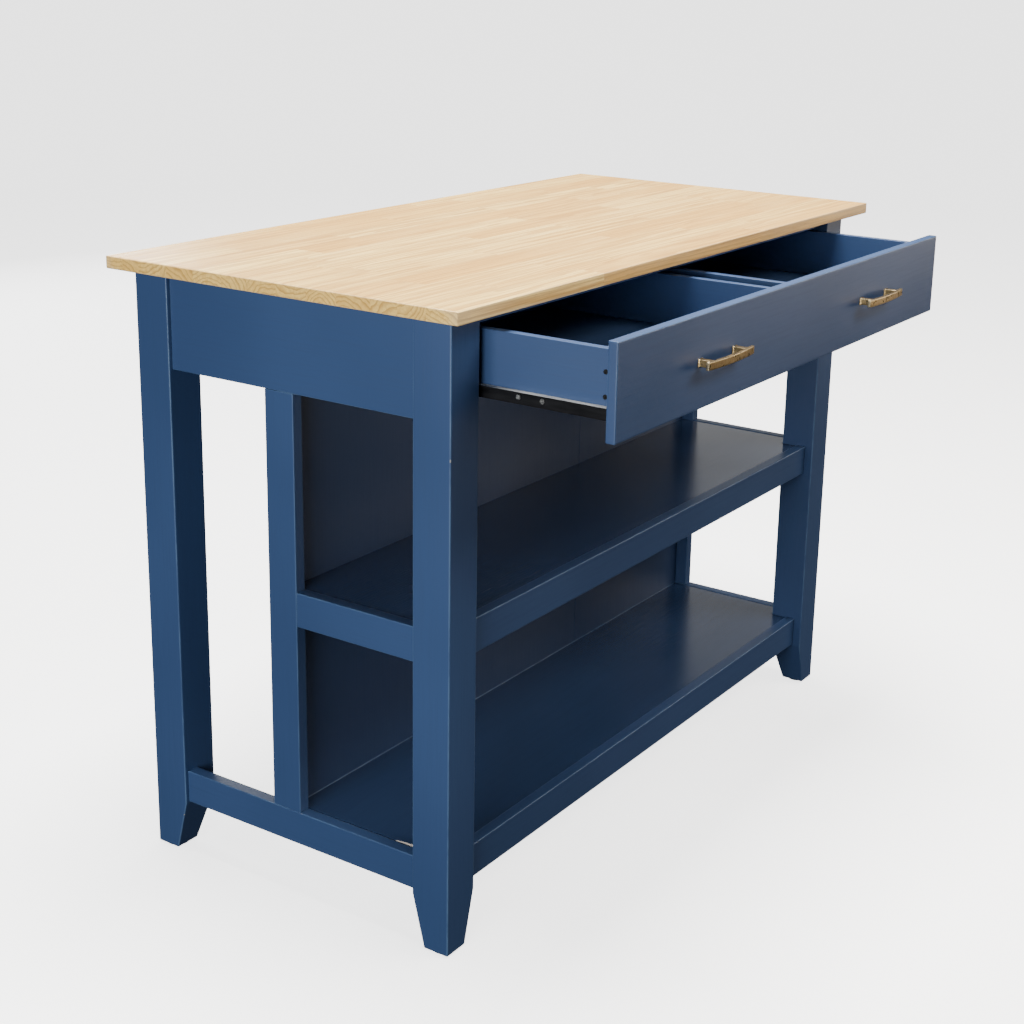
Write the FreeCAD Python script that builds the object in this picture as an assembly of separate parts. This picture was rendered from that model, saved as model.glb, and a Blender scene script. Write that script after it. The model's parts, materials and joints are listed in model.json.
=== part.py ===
import FreeCAD, Part
import os
import math

# Kitchen island cart: painted wooden frame with two open shelves, a solid
# edge-glued wooden worktop and one wide drawer with two compartments,
# running on a pair of roller slides.  The drawer is shown part way open.
# Millimetres.  +X to the right, -Y to the drawer side, +Z up, floor at Z = 0.
# The origin lies on the floor, under the middle of the whole cart with the
# drawer standing open.

V = FreeCAD.Vector

# ---------------------------------------------------------------- dimensions
TOP_L = 1220.0          # worktop length
TOP_D = 600.0           # worktop depth
TOP_T = 18.0            # worktop thickness
TOTAL_H = 904.0         # floor to top of worktop
LEG = 60.0              # leg section
LEG_X = 579.0           # centre line to outer face of a leg
LEG_YF = -268.0         # front face of the front legs
LEG_YB = 278.0          # rear face of the rear legs
FOOT = 40.0             # leg section at the floor
TAPER_Z = 80.0          # the two inner faces taper below this height
GLIDE_T = 2.5           # plastic glide under each foot
GLIDE_R = 17.0
RAIL_T = 18.0           # thickness of rails, aprons and posts
INSET = 14.5            # set back of front rails and back apron behind the leg faces
SIDE_INSET = 6.0        # set back of the end frames behind the leg faces
APRON_Z = 748.0         # underside of the aprons
MID_TOP = 467.0         # top of the middle rails
LOW_TOP = 133.0         # top of the bottom rails
RAIL_H = 50.0           # height of the rails
POST_Y0 = -3.0          # intermediate post, front edge
POST_Y1 = 47.0          # intermediate post, rear edge
PANEL_Y0 = 20.0         # back panel, front face
PANEL_T = 15.0
SHELF_T = 15.0
SHELF_DROP = 1.0        # shelf lies this much below the rail tops
SHELF_GAP = 1.2         # gap between shelf and the rails beside it
CLEAT = 18.0
EASE = 1.2              # eased edge on painted parts
DOWEL_R = 4.0

FRONT_Z0 = 747.0        # drawer front, bottom
FRONT_Z1 = 875.0        # drawer front, top
FRONT_T = 14.0
FRONT_GAP = 2.0         # gap between drawer front and leg
OPEN = 200.0            # the drawer stands open by this much
BOX_T = 12.0            # drawer box sides, back and dividers
BOX_FT = 15.0           # drawer box front
BOX_Z0 = 773.5
BOX_Z1 = 862.0
BOX_DEPTH = 420.0
BOTTOM_Z = 781.0        # drawer bottom panels
BOTTOM_T = 5.0
GROOVE = 5.0
DIV_X = 19.0            # centre line to the inner face of each divider
SLIDE_GAP = 12.7        # room for a slide beside the drawer box
SLIDE_L = 400.0
STEEL = 1.2
ROLLER_R = 10.0
PIN_R = 2.5
PULL_X = 260.0          # centre line to the middle of a pull
PULL_PITCH = 96.0
PULL_L = 128.0
PULL_H = 11.0
PULL_T = 5.0
PULL_OUT = 22.0         # reach of the bar's ends
PULL_BOW = 4.0          # extra reach at the middle
BAR_POST = 10.0

TOP_Z = TOTAL_H - TOP_T                 # underside of the worktop
LEG_XI = LEG_X - LEG                    # inner face of the legs
RAIL_XO = LEG_X - SIDE_INSET               # outer face of side rails
RAIL_XI = RAIL_XO - RAIL_T
LEG_YFI = LEG_YF + LEG
LEG_YBI = LEG_YB - LEG
FRAIL_Y0 = LEG_YF + INSET
FRAIL_Y1 = FRAIL_Y0 + RAIL_T
FRONT_Y0 = LEG_YF - OPEN                # drawer front, outer face
FRONT_Y1 = FRONT_Y0 + FRONT_T
BOX_XO = LEG_XI - SLIDE_GAP             # outer face of the drawer sides
BOX_XI = BOX_XO - BOX_T
BOX_Y0 = FRONT_Y1
BOX_Y1 = FRONT_Y1 + BOX_DEPTH
PULL_Z = (FRONT_Z0 + FRONT_Z1) / 2.0

# the whole cart, with the drawer standing open, is centred on the origin
SHIFT_Y = -((FRONT_Y0 - PULL_OUT - PULL_BOW) + TOP_D / 2.0) / 2.0

solids = {}             # node -> shape, or list of shapes
cuts = {}               # node -> list of holes to cut


def box(x0, y0, z0, x1, y1, z1):
    x0, x1 = min(x0, x1), max(x0, x1)
    y0, y1 = min(y0, y1), max(y0, y1)
    z0, z1 = min(z0, z1), max(z0, z1)
    return Part.makeBox(x1 - x0, y1 - y0, z1 - z0, V(x0, y0, z0))


def eased(shape, r=EASE):
    try:
        s = shape.makeFillet(r, shape.Edges)
        if s.isValid() and len(s.Solids) == 1:
            return s
    except Exception:
        pass
    try:
        s = shape.makeChamfer(r * 0.8, shape.Edges)
        if s.isValid() and len(s.Solids) == 1:
            return s
    except Exception:
        pass
    return shape


def board(x0, y0, z0, x1, y1, z1, r=EASE):
    return eased(box(x0, y0, z0, x1, y1, z1), r)


def rod(x, y, z, axis, r, l):
    return Part.makeCylinder(r, l, V(x, y, z), V(*axis))


def cut(node, shape):
    cuts.setdefault(node, []).append(shape)


def add(node, shape):
    solids.setdefault(node, []).append(shape)


def dowel(x, y, z, axis, into_a, into_b, a, b):
    """Dowel across a joint face at (x, y, z); axis points from a into b."""
    n = V(*axis)
    p = V(x, y, z)
    s = Part.makeCylinder(DOWEL_R, into_a + into_b - 1.0,
                          p - n * (into_a - 0.5), n)
    c = Part.makeCylinder(DOWEL_R + 0.1, into_a + into_b, p - n * into_a, n)
    add("rail_dowels", eased(s, 0.8))
    cut(a, c)
    cut(b, c)


def side(s):
    return "left" if s < 0 else "right"


# ---------------------------------------------------------------- worktop
add("worktop", board(-TOP_L / 2, -TOP_D / 2, TOP_Z,
                     TOP_L / 2, TOP_D / 2, TOTAL_H, 1.6))


# ---------------------------------------------------------------- legs
def leg(sx, sy):
    """Square leg; its two inner faces taper towards the foot."""
    prof_x = [(0, GLIDE_T), (FOOT, GLIDE_T), (LEG, TAPER_Z),
              (LEG, TOP_Z), (0, TOP_Z)]
    fx = Part.Face(Part.makePolygon(
        [V(LEG_X - a, 0, z) for a, z in prof_x] + [V(LEG_X, 0, GLIDE_T)]))
    ex = fx.extrude(V(0, LEG, 0))
    fy = Part.Face(Part.makePolygon(
        [V(LEG_X - LEG, a, z) for a, z in prof_x] + [V(LEG_X - LEG, 0, GLIDE_T)]))
    ey = fy.extrude(V(LEG, 0, 0))
    s = ex.common(ey).removeSplitter()
    s = eased(s.Solids[0], 1.6)
    # built for the right-hand front corner with its front face at Y = 0
    if sy > 0:
        s = s.mirror(V(0, 0, 0), V(0, 1, 0))
        s.translate(V(0, LEG_YB, 0))
    else:
        s.translate(V(0, LEG_YF, 0))
    if sx < 0:
        s = s.mirror(V(0, 0, 0), V(1, 0, 0))
    return s


for sx in (-1, 1):
    for sy, w in ((-1, "front"), (1, "back")):
        add("leg_%s_%s" % (w, side(sx)), leg(sx, sy))
        gy = LEG_YF + FOOT / 2 if sy < 0 else LEG_YB - FOOT / 2
        g = Part.makeCylinder(GLIDE_R, GLIDE_T,
                              V(sx * (LEG_X - FOOT / 2), gy, 0))
        add("foot_glides", g.makeFillet(0.6, [g.Edges[2]]))

# ---------------------------------------------------------------- side frames
RX = (RAIL_XO + RAIL_XI) / 2
for s in (-1, 1):
    n = side(s)
    add("end_apron_" + n, board(s * RAIL_XI, LEG_YFI, APRON_Z,
                                s * RAIL_XO, LEG_YBI, TOP_Z))
    add("bottom_side_rail_" + n, board(s * RAIL_XI, LEG_YFI, LOW_TOP - RAIL_H,
                                       s * RAIL_XO, LEG_YBI, LOW_TOP))
    add("shelf_side_rail_" + n, board(s * RAIL_XI, LEG_YFI, MID_TOP - RAIL_H,
                                      s * RAIL_XO, POST_Y0, MID_TOP))
    add("post_" + n, board(s * RAIL_XI, POST_Y0, LOW_TOP,
                           s * RAIL_XO, POST_Y1, APRON_Z))
    for w, yy, d in (("front", LEG_YFI, -1), ("back", LEG_YBI, 1)):
        lg = "leg_%s_%s" % (w, n)
        for z in (LOW_TOP - 38, LOW_TOP - 12):
            dowel(s * RX, yy, z, (0, d, 0), 15, 15, "bottom_side_rail_" + n, lg)
        for z in (APRON_Z + 20, (APRON_Z + TOP_Z) / 2, TOP_Z - 20):
            dowel(s * RX, yy, z, (0, d, 0), 15, 15, "end_apron_" + n, lg)
    for z in (MID_TOP - 38, MID_TOP - 12):
        dowel(s * RX, LEG_YFI, z, (0, -1, 0), 15, 15,
              "shelf_side_rail_" + n, "leg_front_" + n)
        dowel(s * RX, POST_Y0, z, (0, 1, 0), 15, 15,
              "shelf_side_rail_" + n, "post_" + n)
    for y in (POST_Y0 + 12, POST_Y1 - 12):
        dowel(s * RX, y, LOW_TOP, (0, 0, -1), 15, 15,
              "post_" + n, "bottom_side_rail_" + n)
        dowel(s * RX, y, APRON_Z, (0, 0, 1), 15, 15,
              "post_" + n, "end_apron_" + n)

# ---------------------------------------------------------------- long rails
FY = (FRAIL_Y0 + FRAIL_Y1) / 2
add("shelf_front_rail", board(-LEG_XI, FRAIL_Y0, MID_TOP - RAIL_H,
                              LEG_XI, FRAIL_Y1, MID_TOP))
add("bottom_front_rail", board(-LEG_XI, FRAIL_Y0, LOW_TOP - RAIL_H,
                               LEG_XI, FRAIL_Y1, LOW_TOP))
BAP_Y1 = LEG_YB - INSET
BAP_Y0 = BAP_Y1 - RAIL_T
add("back_apron", board(-LEG_XI, BAP_Y0, APRON_Z, LEG_XI, BAP_Y1, TOP_Z))
# flat stretcher above the drawer box, behind the closed drawer front
FTR_Y0 = LEG_YF + FRONT_T + 2.0
FTR_Y1 = LEG_YFI
FTR_Z0 = BOX_Z1 + 4.0
add("front_top_rail", board(-LEG_XI, FTR_Y0, FTR_Z0, LEG_XI, FTR_Y1, TOP_Z))
# rail that carries the back panel, and rail across its top
add("bottom_back_rail", board(-RAIL_XI, PANEL_Y0, LOW_TOP - RAIL_H,
                              RAIL_XI, PANEL_Y0 + RAIL_T, LOW_TOP))
PTR_Y0 = PANEL_Y0 + PANEL_T
PTR_Y1 = POST_Y1
add("panel_top_rail", board(-RAIL_XI, PTR_Y0, APRON_Z - RAIL_H,
                            RAIL_XI, PTR_Y1, APRON_Z))
for s in (-1, 1):
    n = side(s)
    for z in (MID_TOP - 38, MID_TOP - 12):
        dowel(s * LEG_XI, FY, z, (s, 0, 0), 15, 15,
              "shelf_front_rail", "leg_front_" + n)
    for z in (LOW_TOP - 38, LOW_TOP - 12):
        dowel(s * LEG_XI, FY, z, (s, 0, 0), 15, 15,
              "bottom_front_rail", "leg_front_" + n)
        dowel(s * RAIL_XI, PANEL_Y0 + RAIL_T / 2, z, (s, 0, 0), 18, 12,
              "bottom_back_rail", "bottom_side_rail_" + n)
    for z in (APRON_Z - 38, APRON_Z - 22):
        dowel(s * RAIL_XI, (PTR_Y0 + PTR_Y1) / 2, z, (s, 0, 0), 18, 12,
              "panel_top_rail", "post_" + n)
    for z in (APRON_Z + 20, (APRON_Z + TOP_Z) / 2, TOP_Z - 20):
        dowel(s * LEG_XI, (BAP_Y0 + BAP_Y1) / 2, z, (s, 0, 0), 15, 15,
              "back_apron", "leg_back_" + n)
    for y in (FTR_Y0 + 11, FTR_Y1 - 11):
        dowel(s * LEG_XI, y, (FTR_Z0 + TOP_Z) / 2, (s, 0, 0), 15, 15,
              "front_top_rail", "leg_front_" + n)

# ---------------------------------------------------------------- back panel
# three upright boards, edge to edge, between the two posts
PW = 2 * RAIL_XI / 3.0
for i, n in enumerate(("left", "centre", "right")):
    x0 = -RAIL_XI + i * PW
    add("back_panel_" + n, board(x0 + 0.15, PANEL_Y0, LOW_TOP,
                                 x0 + PW - 0.15, PANEL_Y0 + PANEL_T, APRON_Z, 1.0))


# ---------------------------------------------------------------- shelves
def shelf(top, slack=0.0):
    """Shelf board let in between the rails, notched round the front legs.

    slack: how far the left edge runs in from the rail at the front leg."""
    x = RAIL_XI - SHELF_GAP
    y0 = FRAIL_Y1
    yn = LEG_YFI + 1.0
    xn = LEG_XI - 1.0
    z1 = top - SHELF_DROP
    z0 = z1 - SHELF_T
    pts = [(-xn, y0), (xn, y0), (xn, yn), (x, yn), (x, PANEL_Y0),
           (-x, PANEL_Y0), (-x + slack, yn), (-xn, yn), (-xn, y0)]
    f = Part.Face(Part.makePolygon([V(a, b, z0) for a, b in pts]))
    return eased(f.extrude(V(0, 0, z1 - z0)), 0.8)


add("middle_shelf", shelf(MID_TOP))
add("bottom_shelf", shelf(LOW_TOP, 3.0))
for nm, top in (("middle", MID_TOP), ("bottom", LOW_TOP)):
    z1 = top - SHELF_DROP - SHELF_T
    add("%s_shelf_cleat_front" % nm, board(-500, FRAIL_Y1, z1 - CLEAT,
                                           500, FRAIL_Y1 + CLEAT, z1, 1.0))
    add("%s_shelf_cleat_back" % nm, board(-500, PANEL_Y0 - CLEAT, z1 - CLEAT,
                                          500, PANEL_Y0, z1, 1.0))


# ---------------------------------------------------------------- fasteners
def screw(node, p, d, l, r, head_r, head_t, mates, csk=0.0, pan=True):
    """Screw with its head's underside at p, shank running l along d.
    csk sinks the head by that much in a round recess of the first mate."""
    p = V(*p)
    d = V(*d)
    shank = Part.makeCylinder(r, l - 2.0, p, d)
    tip = Part.makeCone(r, r * 0.35, 2.0, p + d * (l - 2.0), d)
    head = Part.makeCylinder(head_r, head_t, p - d * head_t, d)
    s = head.fuse(shank).fuse(tip).removeSplitter()
    # cross recess in the head
    u = V(0, 0, 1) if abs(d.z) < 0.5 else V(0, 1, 0)
    w = d.cross(u)
    for a, b in ((u, w), (w, u)):
        hw, hl, dp = head_r * 0.14, head_r * 0.6, head_t * 0.6
        c = p - d * head_t
        pts = [c + a * hl + b * hw, c - a * hl + b * hw,
               c - a * hl - b * hw, c + a * hl - b * hw]
        f = Part.Face(Part.makePolygon(pts + [pts[0]]))
        s = s.cut(f.extrude(d * dp))
    add(node, s)
    hole = Part.makeCylinder(r + 0.1, l + 0.3, p, d)
    for m in mates:
        cut(m, hole)
    if csk > 0:
        cut(mates[0], Part.makeCylinder(head_r + 0.3, head_t + csk,
                                        p - d * (head_t + csk), d))


# ---------------------------------------------------------------- slides
CAB_Y0 = LEG_YF + FRONT_T + 2.0        # cabinet member, front end
CAB_Y1 = CAB_Y0 + SLIDE_L
DRW_Y0 = FRONT_Y1 + 0.5                # drawer member, front end
DRW_Y1 = DRW_Y0 + SLIDE_L
D_WEB_O = BOX_XO + STEEL               # drawer member web, outer face
C_WEB_I = LEG_XI - STEEL               # cabinet member web, inner face
D_TOP = BOX_Z0 + 16.9                  # top of the drawer member's flange
C_BOT = 764.0
C_TOP = 797.0
DFL_X = D_WEB_O + 8.0                  # outer edge of the drawer flange
CAB_RZ = D_TOP - STEEL - 0.3 - ROLLER_R
DRW_RZ = C_BOT + STEEL + 0.3 + ROLLER_R
CAB_RY = CAB_Y0 + 12.0
DRW_RY = DRW_Y1 - 12.0
BLOCK_Z0, BLOCK_Z1 = 757.0, 800.0


def prism(poly, y0, y1):
    """Extrude a closed outline in X and Z along Y."""
    f = Part.Face(Part.makePolygon([V(x, y0, z) for x, z in poly] +
                                   [V(poly[0][0], y0, poly[0][1])]))
    return f.extrude(V(0, y1 - y0, 0))


def roller(xa, xb, y, z):
    """Nylon roller with a bored hub and eased tread."""
    r = Part.makeCylinder(ROLLER_R, xb - xa, V(xa, y, z), V(1, 0, 0))
    r = r.makeFillet(0.8, [e for e in r.Edges if abs(e.Length - 2 * math.pi * ROLLER_R) < 0.01])
    bore = Part.makeCylinder(PIN_R + 0.1, xb - xa + 2, V(xa - 1, y, z), V(1, 0, 0))
    ring = Part.makeCylinder(7.6, 1.2, V(xa, y, z), V(1, 0, 0)).cut(
        Part.makeCylinder(4.6, 1.2, V(xa, y, z), V(1, 0, 0)))
    ring2 = ring.copy()
    ring2.translate(V(xb - xa - 1.2, 0, 0))
    return r.cut(bore).cut(ring).cut(ring2)


def flip(shape, s):
    return shape.mirror(V(0, 0, 0), V(1, 0, 0)) if s < 0 else shape


for s in (-1, 1):
    n = side(s)
    # block that brings the slide out to the inner faces of the legs
    add("slide_block_" + n, board(s * LEG_XI, LEG_YFI, BLOCK_Z0,
                                  s * RAIL_XI, LEG_YBI, BLOCK_Z1, 1.0))
    # cabinet member: channel, built on the right and mirrored for the left
    c = prism([(LEG_XI, C_BOT), (LEG_XI, C_TOP),
               (LEG_XI - 9.0, C_TOP), (LEG_XI - 9.0, C_TOP - STEEL),
               (C_WEB_I, C_TOP - STEEL), (C_WEB_I, C_BOT + STEEL),
               (LEG_XI - 10.2, C_BOT + STEEL), (LEG_XI - 10.2, C_BOT)],
              CAB_Y0, CAB_Y1)
    pin = Part.makeCylinder(PIN_R, 7.8, V(C_WEB_I, CAB_RY, CAB_RZ), V(-1, 0, 0))
    cap = Part.makeCylinder(4.2, 0.8, V(C_WEB_I - 7.6, CAB_RY, CAB_RZ), V(-1, 0, 0))
    c = c.fuse(pin).fuse(cap)
    add("slide_cabinet_member_" + n, flip(c, s))
    add("cabinet_roller_" + n,
        flip(roller(C_WEB_I - 7.3, C_WEB_I - 0.3, CAB_RY, CAB_RZ), s))
    # drawer member: foot under the drawer side, web and rolling flange
    d = prism([(BOX_XO - 10.0, BOX_Z0 - STEEL), (BOX_XO - 10.0, BOX_Z0),
               (BOX_XO, BOX_Z0), (BOX_XO, D_TOP), (DFL_X, D_TOP),
               (DFL_X, D_TOP - STEEL), (D_WEB_O, D_TOP - STEEL),
               (D_WEB_O, BOX_Z0 - STEEL)], DRW_Y0, DRW_Y1)
    pin = Part.makeCylinder(PIN_R, 7.8, V(D_WEB_O, DRW_RY, DRW_RZ), V(1, 0, 0))
    cap = Part.makeCylinder(4.2, 0.8, V(D_WEB_O + 7.6, DRW_RY, DRW_RZ), V(1, 0, 0))
    d = d.fuse(pin).fuse(cap)
    add("slide_drawer_member_" + n, flip(d, s))
    add("drawer_roller_" + n,
        flip(roller(D_WEB_O + 0.3, D_WEB_O + 7.3, DRW_RY, DRW_RZ), s))
    for y in (FRONT_Y1 + 98.0, FRONT_Y1 + 134.0, FRONT_Y1 + 262.0, FRONT_Y1 + 340.0):
        screw("drawer_slide_screws", (s * D_WEB_O, y, 781.8), (-s, 0, 0), 7.0,
              1.7, 3.3, 1.1, ["slide_drawer_member_" + n, "drawer_side_" + n])
    for y, m in ((CAB_Y0 + 28, "leg_front_" + n), (CAB_Y0 + 110, "slide_block_" + n),
                 (CAB_Y0 + 238, "slide_block_" + n), (CAB_Y0 + 366, "slide_block_" + n)):
        screw("cabinet_slide_screws", (s * C_WEB_I, y, 791.3), (s, 0, 0), 15.0,
              1.7, 3.3, 1.1, ["slide_cabinet_member_" + n, m])

# ---------------------------------------------------------------- drawer
FX = LEG_XI - FRONT_GAP
add("drawer_front", board(-FX, FRONT_Y0, FRONT_Z0, FX, FRONT_Y1, FRONT_Z1, 1.2))
for s in (-1, 1):
    n = side(s)
    add("drawer_side_" + n, board(s * BOX_XI, BOX_Y0, BOX_Z0,
                                  s * BOX_XO, BOX_Y1, BOX_Z1, 0.8))
    add("drawer_divider_" + n, board(s * DIV_X, BOX_Y0 + BOX_FT, BOX_Z0,
                                     s * (DIV_X + BOX_T), BOX_Y1 - BOX_T, BOX_Z1, 0.8))
add("drawer_box_front", board(-BOX_XI, BOX_Y0, BOX_Z0,
                              BOX_XI, BOX_Y0 + BOX_FT, BOX_Z1, 0.8))
add("drawer_box_back", board(-BOX_XI, BOX_Y1 - BOX_T, BOX_Z0,
                             BOX_XI, BOX_Y1, BOX_Z1, 0.8))
for s in (-1, 1):
    n = side(s)
    xa, xb = DIV_X + BOX_T - GROOVE, BOX_XI + GROOVE
    ya, yb = BOX_Y0 + BOX_FT - GROOVE, BOX_Y1 - BOX_T + GROOVE
    add("drawer_bottom_" + n, box(s * xa, ya, BOTTOM_Z, s * xb, yb, BOTTOM_Z + BOTTOM_T))
    g = box(s * (xa - 0.3), ya - 0.3, BOTTOM_Z - 0.1,
            s * (xb + 0.3), yb + 0.3, BOTTOM_Z + BOTTOM_T + 0.1)
    for m in ("drawer_side_" + n, "drawer_divider_" + n,
              "drawer_box_front", "drawer_box_back"):
        cut(m, g)
    # two sunk screws at each end of each drawer side
    for y, m in ((BOX_Y0 + 8.5, "drawer_box_front"),
                 (BOX_Y1 - BOX_T / 2, "drawer_box_back")):
        for z in (833.0, 801.5):
            screw("drawer_corner_screws", (s * (BOX_XO - 1.7), y, z), (-s, 0, 0),
                  30.0, 1.7, 3.1, 1.3, ["drawer_side_" + n, m], csk=0.4)


# ---------------------------------------------------------------- pulls
def pull(cx):
    """Bar pull: bowed rectangular bar on two square pegs."""
    h = PULL_L / 2.0
    yo = FRONT_Y0 - PULL_OUT
    z0 = PULL_Z - PULL_H / 2

    def arc(y_end, y_mid):
        return Part.Arc(V(cx - h, y_end, z0), V(cx, y_mid, z0),
                        V(cx + h, y_end, z0)).toShape()
    outer = arc(yo, yo - PULL_BOW)
    inner = arc(yo + PULL_T, yo - PULL_BOW + PULL_T)
    e1 = Part.makeLine(V(cx - h, yo, z0), V(cx - h, yo + PULL_T, z0))
    e2 = Part.makeLine(V(cx + h, yo, z0), V(cx + h, yo + PULL_T, z0))
    f = Part.Face(Part.Wire([outer, e2, inner, e1]))
    s = f.extrude(V(0, 0, PULL_H))
    s = eased(s, 0.9)
    for d in (-1, 1):
        px = cx + d * PULL_PITCH / 2
        b = BAR_POST / 2
        peg = eased(box(px - b, FRONT_Y0, PULL_Z - b, px + b, yo + PULL_T - 2.5,
                        PULL_Z + b), 0.7)
        s = s.fuse(peg)
    return s.removeSplitter()


for s in (-1, 1):
    add("pull_" + side(s), pull(s * PULL_X))
    for d in (-1, 1):
        px = s * PULL_X + d * PULL_PITCH / 2
        screw("pull_screws", (px, BOX_Y0 + BOX_FT, PULL_Z), (0, -1, 0), 38.0,
              2.0, 4.2, 1.8, ["drawer_box_front", "drawer_front",
                              "pull_" + side(s)])

# ---------------------------------------------------------------- worktop fixing
for s in (-1, 1):
    n = side(s)
    add("worktop_cleat_" + n, board(s * RAIL_XI, -195.0, TOP_Z - 20.0,
                                    s * (RAIL_XI - 20.0), 205.0, TOP_Z, 1.0))
    for y in (-150.0, 5.0, 160.0):
        screw("worktop_screws", (s * (RAIL_XI - 10.0), y, TOP_Z - 20.0), (0, 0, 1),
              32.0, 2.0, 4.0, 1.6, ["worktop_cleat_" + n, "worktop"])
for x in (-360.0, 0.0, 360.0):
    screw("worktop_screws", (x, (FTR_Y0 + FTR_Y1) / 2, FTR_Z0 + 2.2), (0, 0, 1),
          30.0, 2.0, 4.0, 1.6, ["front_top_rail", "worktop"], csk=0.6)

# ---------------------------------------------------------------- write
os.makedirs("parts", exist_ok=True)
for name in sorted(solids):
    shapes = []
    for s in solids[name]:
        for c in cuts.get(name, []):
            if s.BoundBox.intersect(c.BoundBox):
                s = s.cut(c)
        s = s.copy()
        s.translate(V(0, SHIFT_Y, 0))
        shapes.append(s)
    parts = []
    for s in shapes:
        parts.extend(s.Solids)
    shape = parts[0] if len(parts) == 1 else Part.makeCompound(parts)
    shape.exportStep("parts/%s.step" % name)
    bb = shape.BoundBox
    print("%-28s n=%2d valid=%s vol=%9.1f cm3  X %.1f %.1f  Y %.1f %.1f  Z %.1f %.1f" % (
        name, len(parts), shape.isValid(), shape.Volume / 1000.0,
        bb.XMin, bb.XMax, bb.YMin, bb.YMax, bb.ZMin, bb.ZMax))
print("nodes", len(solids), "shift", SHIFT_Y)
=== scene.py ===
import json
import math
import random

import bmesh
import bpy
from mathutils import Matrix, Vector


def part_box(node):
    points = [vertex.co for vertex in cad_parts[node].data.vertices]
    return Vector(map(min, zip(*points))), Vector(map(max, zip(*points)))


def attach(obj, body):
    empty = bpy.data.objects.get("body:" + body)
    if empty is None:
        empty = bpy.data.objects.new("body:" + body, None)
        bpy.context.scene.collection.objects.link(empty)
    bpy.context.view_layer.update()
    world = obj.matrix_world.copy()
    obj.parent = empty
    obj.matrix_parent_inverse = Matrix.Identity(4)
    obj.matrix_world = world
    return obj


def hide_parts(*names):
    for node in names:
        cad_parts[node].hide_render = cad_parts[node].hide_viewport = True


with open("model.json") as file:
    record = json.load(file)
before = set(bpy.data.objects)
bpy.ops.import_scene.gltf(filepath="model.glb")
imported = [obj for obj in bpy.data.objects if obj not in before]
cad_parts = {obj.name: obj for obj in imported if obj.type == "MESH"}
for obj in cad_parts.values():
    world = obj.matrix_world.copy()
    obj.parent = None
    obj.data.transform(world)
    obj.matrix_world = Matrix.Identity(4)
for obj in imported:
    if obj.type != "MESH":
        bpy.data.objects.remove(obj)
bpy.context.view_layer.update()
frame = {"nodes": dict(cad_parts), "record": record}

nodes = frame["nodes"]
DRAWER_NODES = set(frame["record"]["behaviour"]["bodies"]["drawer"])


def body_name(node):
    for b, names in frame["record"]["behaviour"]["bodies"].items():
        if node in names:
            return b
    return "frame"


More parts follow.
